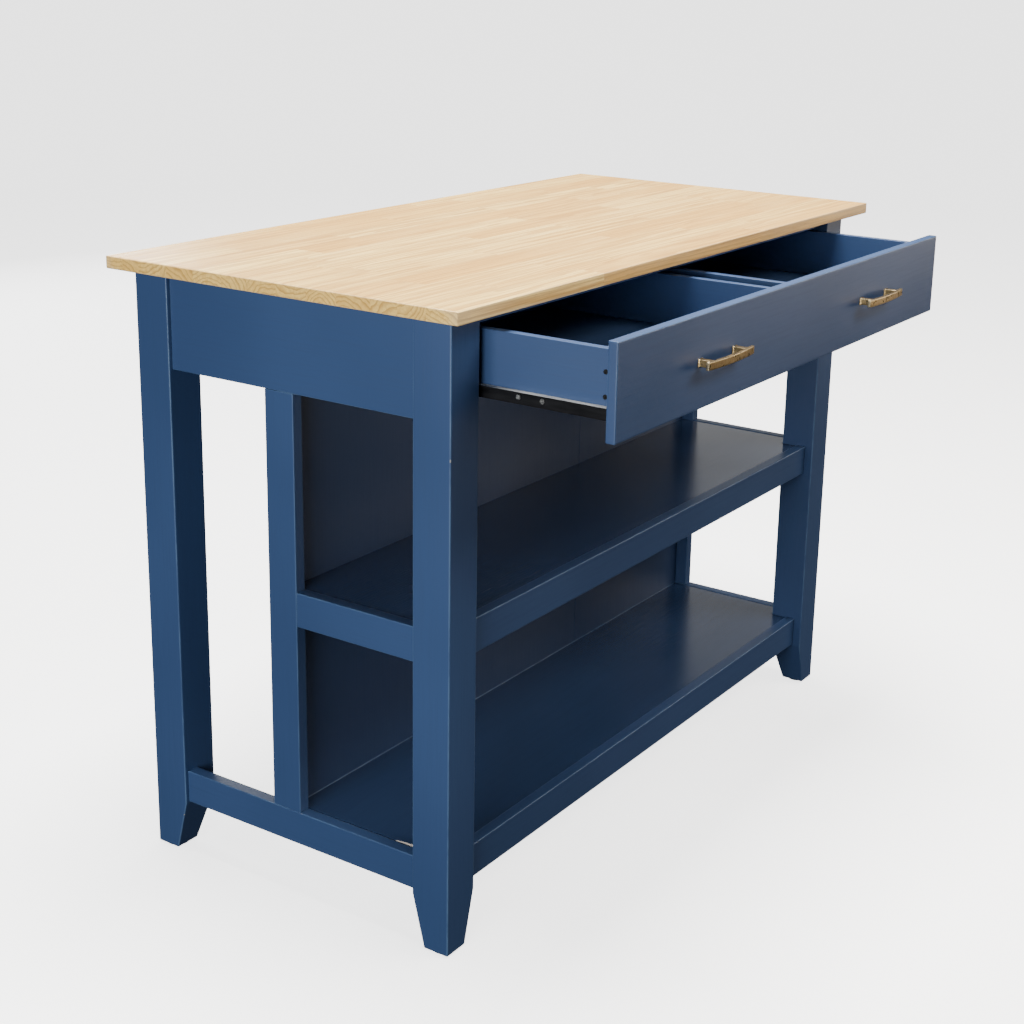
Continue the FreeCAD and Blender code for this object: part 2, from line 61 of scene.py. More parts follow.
# ------------------------------------------------------------------ node helpers
class Graph:
    """Short way to write a material's node tree."""

    def __init__(self, name):
        self.mat = bpy.data.materials.new(name)
        self.mat.use_nodes = True
        self.t = self.mat.node_tree
        for n in list(self.t.nodes):
            if n.type not in ("BSDF_PRINCIPLED", "OUTPUT_MATERIAL"):
                self.t.nodes.remove(n)
        self.bsdf = self.t.nodes["Principled BSDF"]
        self.coord = self.t.nodes.new("ShaderNodeTexCoord").outputs["Object"]

    def link(self, a, b):
        self.t.links.new(a, b)

    def put(self, sock, v):
        if hasattr(v, "links"):
            self.link(v, sock)
        else:
            sock.default_value = v

    def map(self, scale=(1, 1, 1), loc=(0, 0, 0), src=None):
        n = self.t.nodes.new("ShaderNodeMapping")
        self.link(src or self.coord, n.inputs["Vector"])
        n.inputs["Scale"].default_value = scale
        n.inputs["Location"].default_value = loc
        return n.outputs["Vector"]

    def noise(self, vec, scale, detail=2.0, rough=0.5, dist=0.0):
        n = self.t.nodes.new("ShaderNodeTexNoise")
        self.link(vec, n.inputs["Vector"])
        n.inputs["Scale"].default_value = scale
        n.inputs["Detail"].default_value = detail
        n.inputs["Roughness"].default_value = rough
        n.inputs["Distortion"].default_value = dist
        return n.outputs["Fac"]

    def math(self, op, a, b=None, c=None, clamp=False):
        n = self.t.nodes.new("ShaderNodeMath")
        n.operation = op
        n.use_clamp = clamp
        self.put(n.inputs[0], a)
        if b is not None:
            self.put(n.inputs[1], b)
        if c is not None:
            self.put(n.inputs[2], c)
        return n.outputs[0]

    def ramp(self, fac, lo, hi, a=0.0, b=1.0):
        n = self.t.nodes.new("ShaderNodeMapRange")
        n.interpolation_type = "SMOOTHSTEP"
        self.put(n.inputs["Value"], fac)
        n.inputs["From Min"].default_value = lo
        n.inputs["From Max"].default_value = hi
        n.inputs["To Min"].default_value = a
        n.inputs["To Max"].default_value = b
        return n.outputs["Result"]

    def mix(self, fac, a, b, mode="MIX"):
        n = self.t.nodes.new("ShaderNodeMix")
        n.data_type = "RGBA"
        n.blend_type = mode
        self.put(n.inputs["Factor"], fac)
        for s, v in ((n.inputs[6], a), (n.inputs[7], b)):
            if isinstance(v, tuple) and len(v) == 3:
                v = v + (1.0,)
            self.put(s, v)
        return n.outputs[2]

    def attr(self, name):
        n = self.t.nodes.new("ShaderNodeAttribute")
        n.attribute_type = "GEOMETRY"
        n.attribute_name = name
        return n.outputs["Fac"]

    def split(self, vec):
        n = self.t.nodes.new("ShaderNodeSeparateXYZ")
        self.link(vec, n.inputs[0])
        return n.outputs

    def join(self, x, y, z):
        n = self.t.nodes.new("ShaderNodeCombineXYZ")
        for i, v in enumerate((x, y, z)):
            self.put(n.inputs[i], v)
        return n.outputs[0]

    def bump(self, height, strength, distance, prev=None):
        n = self.t.nodes.new("ShaderNodeBump")
        self.link(height, n.inputs["Height"])
        n.inputs["Strength"].default_value = strength
        n.inputs["Distance"].default_value = distance
        if prev is not None:
            self.link(prev, n.inputs["Normal"])
        return n.outputs["Normal"]

    def finish(self, color, rough, normal=None, metallic=0.0, **const):
        p = self.bsdf.inputs
        self.put(p["Base Color"], color)
        self.put(p["Roughness"], rough)
        p["Metallic"].default_value = metallic
        if normal is not None:
            self.link(normal, p["Normal"])
        for k, v in const.items():
            p[k.replace("_", " ")].default_value = v
        return self.mat


# the last argument sets how strongly the edges go lighter: paint wear plus a painted highlight
def paint(name, axis, navy=(0.034, 0.068, 0.160), gloss=0.33, bare=False, wear_and_highlight=0.55):
    """Satin navy paint over wood: brushed film, faint grain, edges that wear lighter and carry a painted
    highlight.

    bare: the paint has missed a sliver of the edge beside the front left leg."""
    g = Graph(name)
    s = [46.0, 46.0, 46.0]
    s["xyz".index(axis)] = 1.6
    along = g.map(tuple(s))
    grain = g.noise(along, 7.0, 5.0, 0.6, 0.2)
    brush = g.noise(along, 26.0, 2.0, 0.5)
    cloud = g.noise(g.coord, 2.6, 2.0, 0.45)
    wear = g.noise(g.map((1, 1, 1), (3.1, 1.7, 0.4)), 24.0, 3.0, 0.5)
    edge = g.attr("edge")
    col = g.mix(g.ramp(cloud, 0.30, 0.70), tuple(c * 0.92 for c in navy),
                tuple(c * 1.08 for c in navy))
    col = g.mix(g.ramp(grain, 0.38, 0.80, 0.0, 0.20), col, tuple(c * 0.70 for c in navy))
    # the film is thin along the eased edges and rubs lighter there; the same light blue is also a painted
    # highlight along the edges
    rub_and_highlight = g.math("MULTIPLY", g.ramp(edge, 0.45, 1.0, 0.0, wear_and_highlight), g.ramp(wear, 0.30, 0.66, 0.20, 1.0))
    col = g.mix(rub_and_highlight, col, (0.110, 0.195, 0.315))
    # a few small chips on the edges, down to the primer
    chip_n = g.noise(g.map((1, 1, 1), (7.7, 2.2, 5.1)), 70.0, 1.0, 0.4)
    chip = g.math("MULTIPLY", g.ramp(edge, 0.75, 0.95), g.ramp(chip_n, 0.80, 0.81))
    col = g.mix(chip, col, (0.40, 0.37, 0.32))
    if bare:
        x, y, z = g.split(g.coord)
        dy = g.math("ADD", y, 0.110)
        inset = g.math("ADD", g.math("ADD", x, 0.5508), g.math("MULTIPLY", dy, 0.0132))
        width = g.math("SUBTRACT", 0.0064, g.math("MULTIPLY", dy, 0.128))
        width = g.math("ADD", width, g.math("MULTIPLY", g.math("SUBTRACT", wear, 0.5), 0.0012))
        raw = g.ramp(g.math("SUBTRACT", width, inset), 0.0, 0.0003)
        col = g.mix(raw, col, (0.860, 0.760, 0.660))
    rough = g.ramp(cloud, 0.3, 0.7, gloss, gloss + 0.06)
    rough = g.math("ADD", rough, g.ramp(grain, 0.3, 0.8, 0.0, 0.05))
    n = g.bump(grain, 0.20, 0.0005)
    n = g.bump(brush, 0.10, 0.0003, n)
    return g.finish(col, rough, n, Specular_IOR_Level=0.50, Coat_Weight=0.10,
                    Coat_Roughness=0.16)


def butcher(name):
    """Pale hardwood staves: growth rings round a centre of each stave's own."""
    g = Graph(name)
    x, y, z = g.split(g.coord)
    tone, ry, rz, ph = (g.attr(a) for a in ("tone", "ring_y", "ring_z", "phase"))
    # slow wander of the grain along the stave
    base = g.join(g.math("ADD", g.math("MULTIPLY", x, 2.2), g.math("MULTIPLY", ph, 31.0)),
                  g.math("ADD", g.math("MULTIPLY", y, 22.0), g.math("MULTIPLY", ph, 17.0)),
                  g.math("MULTIPLY", z, 22.0))
    wander = g.noise(base, 1.0, 3.0, 0.5)
    dy = g.math("SUBTRACT", y, ry)
    dz = g.math("SUBTRACT", z, rz)
    dist = g.math("SQRT", g.math("ADD", g.math("MULTIPLY", dy, dy), g.math("MULTIPLY", dz, dz)))
    dist = g.math("ADD", dist, g.math("MULTIPLY", wander, 0.030))
    # rings of uneven width
    wob = g.noise(g.join(g.math("MULTIPLY", dist, 90.0), ph, 0.0), 1.0, 2.0, 0.5)
    ring = g.math("FRACT", g.math("ADD", g.math("MULTIPLY", dist, 150.0), g.math("MULTIPLY", wob, 1.4)))
    late = g.ramp(ring, 0.45, 0.97)
    late = g.math("MULTIPLY", late, g.ramp(ring, 1.0, 0.965))
    # pores: short dark flecks along the grain
    pvec = g.join(g.math("ADD", g.math("MULTIPLY", x, 60.0), g.math("MULTIPLY", ph, 53.0)),
                  g.math("MULTIPLY", y, 1500.0), g.math("MULTIPLY", z, 1500.0))
    pore = g.ramp(g.noise(pvec, 1.0, 2.0, 0.5), 0.62, 0.74)
    # fibres
    fvec = g.join(g.math("ADD", g.math("MULTIPLY", x, 9.0), g.math("MULTIPLY", ph, 11.0)),
                  g.math("MULTIPLY", y, 420.0), g.math("MULTIPLY", z, 420.0))
    fibre = g.noise(fvec, 1.0, 4.0, 0.6)
    cloud = g.noise(g.join(g.math("ADD", g.math("MULTIPLY", x, 3.0), g.math("MULTIPLY", ph, 7.0)),
                           g.math("MULTIPLY", y, 14.0), g.math("MULTIPLY", z, 14.0)), 1.0, 3.0, 0.5)
    geo = g.t.nodes.new("ShaderNodeNewGeometry")
    to = g.t.nodes.new("ShaderNodeVectorTransform")
    to.vector_type = "NORMAL"
    to.convert_from = "WORLD"
    to.convert_to = "OBJECT"
    g.link(geo.outputs["True Normal"], to.inputs[0])
    nx = g.ramp(g.math("ABSOLUTE", g.split(to.outputs[0])[0]), 0.7, 0.95)
    col = g.mix(tone, (0.970, 0.670, 0.210), (0.720, 0.395, 0.088))
    col = g.mix(g.ramp(cloud, 0.35, 0.75, 0.0, 0.35), col, (0.970, 0.730, 0.290))
    col = g.mix(g.ramp(fibre, 0.42, 0.66, 0.0, 0.60), col, (0.560, 0.330, 0.090))
    svec = g.join(g.math("ADD", g.math("MULTIPLY", x, 3.4), g.math("MULTIPLY", ph, 23.0)),
                  g.math("MULTIPLY", y, 150.0), g.math("MULTIPLY", z, 150.0))
    streak = g.noise(svec, 1.0, 3.0, 0.65)
    col = g.mix(g.ramp(streak, 0.46, 0.60, 0.0, 0.72), col, (0.560, 0.300, 0.070))
    col = g.mix(g.math("MULTIPLY", pore, 0.60), col, (0.340, 0.180, 0.070))
    # glue lines
    glue = g.attr("glue")
    col = g.mix(g.ramp(glue, 0.55, 1.0, 0.0, 0.40), col, (0.400, 0.240, 0.120))
    # end faces are darker, as open pores drink the lacquer
    col = g.mix(g.math("MULTIPLY", nx, 0.50), col, (1.000, 0.640, 0.170))
    col = g.mix(g.math("MULTIPLY", late, g.ramp(nx, 0.0, 1.0, 0.50, 0.62)), col,
                (0.400, 0.185, 0.040))
    # painted highlight: the rounded edges and vertical corners are mixed toward a pale tan
    edge = g.attr("edge")
    col = g.mix(g.ramp(edge, 0.5, 1.0, 0.0, 0.25), col, (0.86, 0.70, 0.50))
    rough = g.ramp(fibre, 0.3, 0.75, 0.30, 0.44)
    rough = g.math("ADD", rough, g.math("MULTIPLY", pore, 0.12))
    n = g.bump(g.math("SUBTRACT", g.math("MULTIPLY", fibre, 0.4), pore), 0.18, 0.0003)
    n = g.bump(glue, 0.20, 0.0002, n)
    return g.finish(col, rough, n, Specular_IOR_Level=0.35, Coat_Weight=0.06,
                    Coat_Roughness=0.25)


def brass(name):
    """Antique brass: brushed, with darker patches of patina, bright on edges that wear."""
    g = Graph(name)
    brush = g.noise(g.map((40, 900, 900)), 1.0, 3.0, 0.6)
    patina = g.noise(g.coord, 130.0, 4.0, 0.6)
    edge = g.attr("edge")
    col = g.mix(g.ramp(patina, 0.35, 0.70), (0.50, 0.345, 0.150), (0.295, 0.190, 0.080))
    col = g.mix(g.ramp(brush, 0.3, 0.8, 0.0, 0.25), col, (0.62, 0.46, 0.24))
    col = g.mix(g.ramp(edge, 0.4, 0.95, 0.0, 0.6), col, (0.80, 0.66, 0.40))
    rough = g.ramp(patina, 0.3, 0.7, 0.24, 0.42)
    n = g.bump(brush, 0.12, 0.0002)
    return g.finish(col, rough, n, metallic=1.0)


def black_steel(name, top_sheen=0.0):
    """Black epoxy coat on pressed steel; optionally the faces that look up turn light grey, a painted
    reflection of the bright surroundings on the track's top flange.
    """
    g = Graph(name)
    peel = g.noise(g.coord, 700.0, 2.0, 0.5)
    smear = g.noise(g.map((30, 4, 30)), 6.0, 3.0, 0.6)
    col = g.mix(g.ramp(smear, 0.35, 0.7), (0.004, 0.004, 0.005), (0.008, 0.008, 0.009))
    rough = g.ramp(smear, 0.3, 0.7, 0.38, 0.50)
    # painted reflection: up-facing faces are mixed toward a light steel grey
    if top_sheen:
        geo = g.t.nodes.new("ShaderNodeNewGeometry")
        to = g.t.nodes.new("ShaderNodeVectorTransform")
        to.vector_type = "NORMAL"
        to.convert_from = "WORLD"
        to.convert_to = "OBJECT"
        g.link(geo.outputs["True Normal"], to.inputs[0])
        up = g.ramp(g.split(to.outputs[0])[2], 0.6, 0.9, 0.0, top_sheen)
        bare = g.math("MULTIPLY", up, g.ramp(smear, 0.25, 0.6, 0.55, 1.0))
        col = g.mix(bare, col, (0.44, 0.45, 0.46))
    return g.finish(col, rough, g.bump(peel, 0.10, 0.0002), Specular_IOR_Level=0.15)


def zinc(name, a=(0.66, 0.66, 0.64), b=(0.48, 0.47, 0.44), r0=0.20, r1=0.36):
    """Zinc plated steel, faintly passivated."""
    g = Graph(name)
    blot = g.noise(g.coord, 420.0, 3.0, 0.6)
    col = g.mix(g.ramp(blot, 0.35, 0.7), a, b)
    rough = g.ramp(blot, 0.3, 0.7, r0, r1)
    return g.finish(col, rough, g.bump(blot, 0.12, 0.0002), metallic=1.0)


def plastic(name, a, b, r0, r1):
    """Moulded plastic with a fine spark-eroded texture."""
    g = Graph(name)
    tex = g.noise(g.coord, 1300.0, 2.0, 0.6)
    slow = g.noise(g.coord, 90.0, 2.0, 0.5)
    col = g.mix(g.ramp(slow, 0.3, 0.7), a, b)
    rough = g.ramp(tex, 0.3, 0.7, r0, r1)
    return g.finish(col, rough, g.bump(tex, 0.15, 0.0002), Specular_IOR_Level=0.45)


def dowel_wood(name):
    g = Graph(name)
    fibre = g.noise(g.map((40, 300, 300)), 1.0, 4.0, 0.6)
    col = g.mix(g.ramp(fibre, 0.3, 0.75), (0.62, 0.44, 0.27), (0.47, 0.31, 0.17))
    return g.finish(col, g.ramp(fibre, 0.3, 0.7, 0.55, 0.7), g.bump(fibre, 0.2, 0.0003))


# painted shade: the back panel boards (both faces) and both shelves get a darker copy of the same navy,
# standing in for the shade inside the open bays
SHADED_INNER_NAVY = (0.026, 0.050, 0.118)

M = {
    "paint_x": paint("navy_paint_x", "x"),
    "paint_y": paint("navy_paint_y", "y"),
    "paint_z": paint("navy_paint_z", "z"),
    # the next three materials use the darker navy copy: painted shade
    "paint_inner": paint("navy_paint_inner_shaded", "z", SHADED_INNER_NAVY, wear_and_highlight=0.15),
    "paint_shelf": paint("navy_paint_shelf_shaded", "x", SHADED_INNER_NAVY, gloss=0.17, wear_and_highlight=0.4),
    "paint_bare": paint("navy_paint_bare_shaded", "x", SHADED_INNER_NAVY, gloss=0.17, bare=True, wear_and_highlight=0.4),
    "butcher_block": butcher("butcher_block"),
    "antique_brass": brass("antique_brass"),
    "black_steel": black_steel("black_steel"),
    "black_steel_track": black_steel("black_steel_track", 0.75),
    "zinc_steel": zinc("zinc_steel"),
    "zinc_steel_dark": zinc("zinc_steel_dark", (0.30, 0.30, 0.31), (0.20, 0.20, 0.21), 0.12, 0.22),
    "white_nylon": plastic("white_nylon", (0.66, 0.65, 0.60), (0.72, 0.71, 0.67), 0.35, 0.50),
    "black_plastic": plastic("black_plastic", (0.012, 0.012, 0.012), (0.022, 0.022, 0.022), 0.45, 0.62),
    "beech_dowel": dowel_wood("beech_dowel"),
}


# ------------------------------------------------------------------ mesh helpers
def finish_piece(name, bm, node, mat, edges=None):
    me = bpy.data.meshes.new(name)
    bmesh.ops.recalc_face_normals(bm, faces=bm.faces)
    for e in bm.edges:
        if len(e.link_faces) == 2 and e.calc_face_angle() > 0.9:
            e.smooth = False
    bm.to_mesh(me)
    bm.free()
    for p in me.polygons:
        p.use_smooth = True
    ob = bpy.data.objects.new(name, me)
    bpy.context.scene.collection.objects.link(ob)
    me.materials.append(mat)
    wn = ob.modifiers.new("normals", "WEIGHTED_NORMAL")
    wn.mode = "FACE_AREA"
    wn.keep_sharp = True
    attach(ob, body_name(node))
    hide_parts(node)
    return ob


def set_edge_attr(bm, lo, hi, reach):
    """edge = 1 on the box's own edges, falling to 0 at reach inside a face."""
    lay = bm.verts.layers.float.new("edge")
    for v in bm.verts:
        d = sorted(min(v.co[i] - lo[i], hi[i] - v.co[i]) for i in range(3))
        v[lay] = max(0.0, min(1.0, 1.0 - d[1] / reach))


def slab_bm(lo, hi, r, reach=0.0035, seg=3):
    bm = bmesh.new()
    bmesh.ops.create_cube(bm, size=1.0)
    c = (lo + hi) / 2
    s = hi - lo
    for v in bm.verts:
        v.co = Vector((c[i] + v.co[i] * s[i] for i in range(3)))
    bmesh.ops.bevel(bm, geom=list(bm.edges), offset=r, offset_type="OFFSET",
                    segments=seg, profile=0.5, affect="EDGES", clamp_overlap=True)
    big = [f for f in bm.faces if len(f.verts) == 4 and
           max(abs(x) for x in f.normal) > 0.9999 and
           sum(1 for i in range(3) if abs(f.normal[i]) < 0.5 and
               (max(v.co[i] for v in f.verts) - min(v.co[i] for v in f.verts)) > s[i] - 2.2 * r - 1e-5) == 2]
    bmesh.ops.inset_individual(bm, faces=big, thickness=max(0.0005, reach - r), use_even_offset=True)
    set_edge_attr(bm, lo, hi, reach)
    return bm


def slab(node, axis, r=0.0012, mat=None):
    lo, hi = (Vector(v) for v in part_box(node))
    bm = slab_bm(lo, hi, r)
    return finish_piece(node + "_board", bm, node, mat or M["paint_" + axis])


# ------------------------------------------------------------------ painted boards
BOARDS = {
    "end_apron_left": "y", "end_apron_right": "y", "back_apron": "x",
    "bottom_side_rail_left": "y", "bottom_side_rail_right": "y",
    "shelf_side_rail_left": "y", "shelf_side_rail_right": "y",
    "post_left": "z", "post_right": "z",
    "shelf_front_rail": "x", "bottom_front_rail": "x", "bottom_back_rail": "x",
    "panel_top_rail": "x", "front_top_rail": "x",
    "back_panel_left": "z", "back_panel_centre": "z", "back_panel_right": "z",
    "drawer_front": "x",
}
# the back panel boards get the darker navy copy: painted shade
for node, axis in BOARDS.items():
    slab(node, axis, 0.0015 if node in ("drawer_front",) else 0.0012,
         M["paint_inner"] if node.startswith("back_panel") else None)

PLAIN = {
    "middle_shelf": "x", "bottom_shelf": "x",
    "middle_shelf_cleat_front": "x", "middle_shelf_cleat_back": "x",
    "bottom_shelf_cleat_front": "x", "bottom_shelf_cleat_back": "x",
    "slide_block_left": "y", "slide_block_right": "y",
    "worktop_cleat_left": "y", "worktop_cleat_right": "y",
    "drawer_side_left": "y", "drawer_side_right": "y",
    "drawer_divider_left": "y", "drawer_divider_right": "y",
    "drawer_box_front": "x", "drawer_box_back": "x",
    "drawer_bottom_left": "x", "drawer_bottom_right": "x",
}


def use(node, mat):
    ob = nodes[node]
    if not ob.material_slots:
        ob.data.materials.append(mat)
    for s in ob.material_slots:
        s.material = mat


for node, axis in PLAIN.items():
    use(node, M["paint_" + axis])
# both shelves get the darker navy copy: painted shade
use("middle_shelf", M["paint_shelf"])
use("bottom_shelf", M["paint_bare"])
for node in nodes:
    if node in BOARDS or node in PLAIN:
        continue
    slot = next((s["material_slot"] for s in frame["record"]["subparts"] if s["node"] == node), None)
    # the drawer members get the painted reflection on their up-facing flanges
    if node.startswith("slide_drawer_member"):
        use(node, M["black_steel_track"])
    elif node == "drawer_corner_screws":
        use(node, M["zinc_steel_dark"])
    elif slot in M:
        use(node, M[slot])


# ------------------------------------------------------------------ legs
def leg(node):
    lo, hi = (Vector(v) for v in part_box(node))
    sx = 1 if hi.x > 0 else -1
    front = "front" in node
    # outer corner of the leg
    ox = hi.x if sx > 0 else lo.x
    oy = lo.y if front else hi.y
    dy = 1 if front else -1
    L, FOOT, TZ, r, reach = 0.060, 0.040, 0.080, 0.0016, 0.0045
    z0, z1 = lo.z, hi.z
    seg = 3

    def section(size, inset):
        """Rounded square, as offsets a, b from the outer corner, with edge."""
        pts = []
        a0, a1 = inset, size - inset
        rr = max(r - inset * 0.5, 0.0006)
        corners = [(a0, a0, math.pi, 1.5 * math.pi), (a1, a0, 1.5 * math.pi, 2 * math.pi),
                   (a1, a1, 0, 0.5 * math.pi), (a0, a1, 0.5 * math.pi, math.pi)]
        for cx, cy, t0, t1 in corners:
            mx = cx + (rr if cx == a0 else -rr)
            my = cy + (rr if cy == a0 else -rr)
            sup0 = (mx + rr * math.cos(t0), my + rr * math.sin(t0))
            sup1 = (mx + rr * math.cos(t1), my + rr * math.sin(t1))
            d0 = (-math.sin(t0), math.cos(t0))
            d1 = (-math.sin(t1), math.cos(t1))
            k = reach - rr
            pts.append((sup0[0] - d0[0] * k, sup0[1] - d0[1] * k, 0.0))
            for i in range(seg + 1):
                t = t0 + (t1 - t0) * i / seg
                pts.append((mx + rr * math.cos(t), my + rr * math.sin(t),
                            1.0 if 0 < i < seg else 0.65))
            pts.append((sup1[0] + d1[0] * k, sup1[1] + d1[1] * k, 0.0))
        return pts

    def size_at(z):
        return FOOT + (L - FOOT) * (z - z0) / (TZ - z0) if z < TZ else L

    levels = []
    for z, inset, e in ((z0, r, 0.9), (z0 + r * 0.3, r * 0.3, 1.0), (z0 + r, 0, 0.7),
                        (z0 + reach, 0, 0.0), (TZ - 0.004, 0, 0.0), (TZ, 0, 0.35),
                        (TZ + 0.004, 0, 0.0), (0.25, 0, 0), (0.45, 0, 0), (0.65, 0, 0),
                        (z1 - reach, 0, 0.0), (z1 - r, 0, 0.7), (z1 - r * 0.3, r * 0.3, 1.0),
                        (z1, r, 0.9)):
        levels.append((z, section(size_at(z), inset), e))
    bm = bmesh.new()
    lay = bm.verts.layers.float.new("edge")
    rings = []
    for z, pts, e in levels:
        ring = []
        for a, b, ea in pts:
            v = bm.verts.new((ox - sx * a, oy + dy * b, z))
            v[lay] = max(ea, e)
            ring.append(v)
        rings.append(ring)
    n = len(rings[0])
    for a, b in zip(rings, rings[1:]):
        for i in range(n):
            j = (i + 1) % n
            bm.faces.new((a[i], a[j], b[j], b[i]))
    bm.faces.new(list(reversed(rings[0])))
    bm.faces.new(rings[-1])
    return finish_piece(node + "_shaped", bm, node, M["paint_z"])


for w in ("front", "back"):
    for n in ("left", "right"):
        leg("leg_%s_%s" % (w, n))


# ------------------------------------------------------------------ worktop
def worktop():
    """One closed slab whose faces follow the staves and their finger joints."""
    lo, hi = (Vector(v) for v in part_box("worktop"))
    rng = random.Random(41)
    r = 0.0016
    # stave lines across the depth
    ys = [lo.y + r]
    while ys[-1] < hi.y - r - 0.075:
        ys.append(ys[-1] + rng.uniform(0.040, 0.056))
    ys.append((ys[-1] + hi.y - r) / 2)
    ys.append(hi.y - r)
    x0, x1 = lo.x + r, hi.x - r
    rows = []
    for i in range(len(ys) - 1):
        cuts = []
        x = x0 + rng.uniform(0.10, 0.45)
        while x < x1 - 0.10:
            cuts.append(x)
            x += rng.uniform(0.24, 0.52)
        rows.append(cuts)
    bm = bmesh.new()
    names = ("tone", "ring_y", "ring_z", "phase")
    fl = {a: bm.faces.layers.float.new(a) for a in names}
    vl_edge = bm.verts.layers.float.new("edge")
    vl_glue = bm.verts.layers.float.new("glue")

    def block_values(i):
        yc = (ys[i] + ys[i + 1]) / 2
        return {"tone": rng.random() ** 1.2, "ring_y": yc + rng.uniform(-0.055, 0.055),
                "ring_z": (lo.z + hi.z) / 2 + rng.choice((-1, 1)) * rng.uniform(0.012, 0.085),
                "phase": rng.uniform(0, 9)}

    vals = [[block_values(i) for _ in range(len(c) + 1)] for i, c in enumerate(rows)]

    verts = {}

    def vert(x, y, z, e=0.0, gl=0.0):
        k = (round(x, 6), round(y, 6), round(z, 6))
        if k not in verts:
            v = bm.verts.new((x, y, z))
            verts[k] = v
            v[vl_edge] = e
            v[vl_glue] = gl
        return verts[k]

    G = 0.0009          # width over which the glue line fades

    def face(pts, val):
        vs = []
        for p in pts:
            v = vert(*p)
            if not vs or vs[-1] is not v:
                vs.append(v)
        if vs[0] is vs[-1]:
            vs.pop()
        if len(set(vs)) < 3:
            return
        try:
            f = bm.faces.new(vs)
        except ValueError:
            return
        for a in names:
            f[fl[a]] = val[a]

    # the x stations of every row, shared so that the surface stays closed
    def stations(i):
        return [x0] + rows[i] + [x1]

    for z, top in ((hi.z, True), (lo.z, False)):
        for i in range(len(ys) - 1):
            xs = stations(i)
            ya, yb = ys[i], ys[i + 1]
            # lines shared with the rows on each side
            below = sorted(set(xs + (stations(i - 1) if i > 0 else [])))
            above = sorted(set(xs + (stations(i + 1) if i < len(ys) - 2 else [])))
            for k in range(len(xs) - 1):
                a, b = xs[k], xs[k + 1]
                val = vals[i][k]
                lowp = [x for x in below if a <= x <= b]
                upp = [x for x in above if a <= x <= b]
                lowi = [(x, ya, z, 0.0, 1.0) for x in lowp]
                upi = [(x, yb, z, 0.0, 1.0) for x in reversed(upp)]
                ax = a + (G if k > 0 else 0)
                bx = b - (G if k < len(xs) - 2 else 0)
                inner = [(ax, ya + G, z), (bx, ya + G, z), (bx, yb - G, z), (ax, yb - G, z)]
                # rim strips
                face([*lowi, inner[1], inner[0]], val)
                face([(b, ya, z, 0, 1), (b, yb, z, 0, 1), inner[2], inner[1]] if k < len(xs) - 2
                     else [(b, ya, z, 0, 1), (b, yb, z, 0, 1), inner[2], inner[1]], val)
                face([*upi, inner[3], inner[2]], val)
                face([(a, yb, z, 0, 1), (a, ya, z, 0, 1), inner[0], inner[3]], val)
                face(inner, val)

    # long sides and ends, with a rounded edge above and below
    def ring(z):
        """Boundary line of the face, with the block each part belongs to; z is not used."""
        out = []
        xs = stations(0)
        for k in range(len(xs) - 1):
            out.append(((xs[k], ys[0]), (xs[k + 1], ys[0]), vals[0][k], (0, -1)))
        for i in range(len(ys) - 1):
            out.append(((x1, ys[i]), (x1, ys[i + 1]), vals[i][-1], (1, 0)))
        xs = stations(len(ys) - 2)
        for k in reversed(range(len(xs) - 1)):
            out.append(((xs[k + 1], ys[-1]), (xs[k], ys[-1]), vals[-1][k], (0, 1)))
        for i in reversed(range(len(ys) - 1)):
            out.append(((x0, ys[i + 1]), (x0, ys[i]), vals[i][0], (-1, 0)))
        return out

    prof = []
    for k in range(5):
        t = math.pi / 2 * k / 4
        prof.append((r * math.sin(t), hi.z - r + r * math.cos(t), 1.0 if 0 < k < 4 else 0.6))
    prof.append((r, hi.z - 0.0045, 0.0))
    prof.append((r, lo.z + 0.0045, 0.0))
    for k in range(5):
        t = math.pi / 2 * k / 4
        prof.append((r * math.cos(t), lo.z + r - r * math.sin(t), 1.0 if 0 < k < 4 else 0.6))
    segs = ring(0)
    m = len(segs)

    def outward(idx):
        """Direction in which the line's start point moves out, at a corner both ways."""
        p = segs[idx - 1][3]
        q = segs[idx][3]
        if p == q:
            return q
        return (p[0] + q[0], p[1] + q[1])

    for s in range(m):
        (a, b, val, d) = segs[s]
        da, db = outward(s), outward((s + 1) % m)
        for (o0, z0, e0), (o1, z1, e1) in zip(prof, prof[1:]):
            face([(a[0] + da[0] * o0, a[1] + da[1] * o0, z0, e0),
                  (b[0] + db[0] * o0, b[1] + db[1] * o0, z0, e0),
                  (b[0] + db[0] * o1, b[1] + db[1] * o1, z1, e1),
                  (a[0] + da[0] * o1, a[1] + da[1] * o1, z1, e1)], val)
    # vertical corner edges, given full weight for the painted edge highlight in the wood material
    for v in bm.verts:
        if abs(abs(v.co.x) - hi.x) < 1e-6 and (abs(v.co.y - lo.y) < 1e-6 or abs(v.co.y - hi.y) < 1e-6):
            v[vl_edge] = 1.0
    bmesh.ops.remove_doubles(bm, verts=bm.verts, dist=1e-6)
    return finish_piece("worktop_staves", bm, "worktop", M["butcher_block"])


worktop()


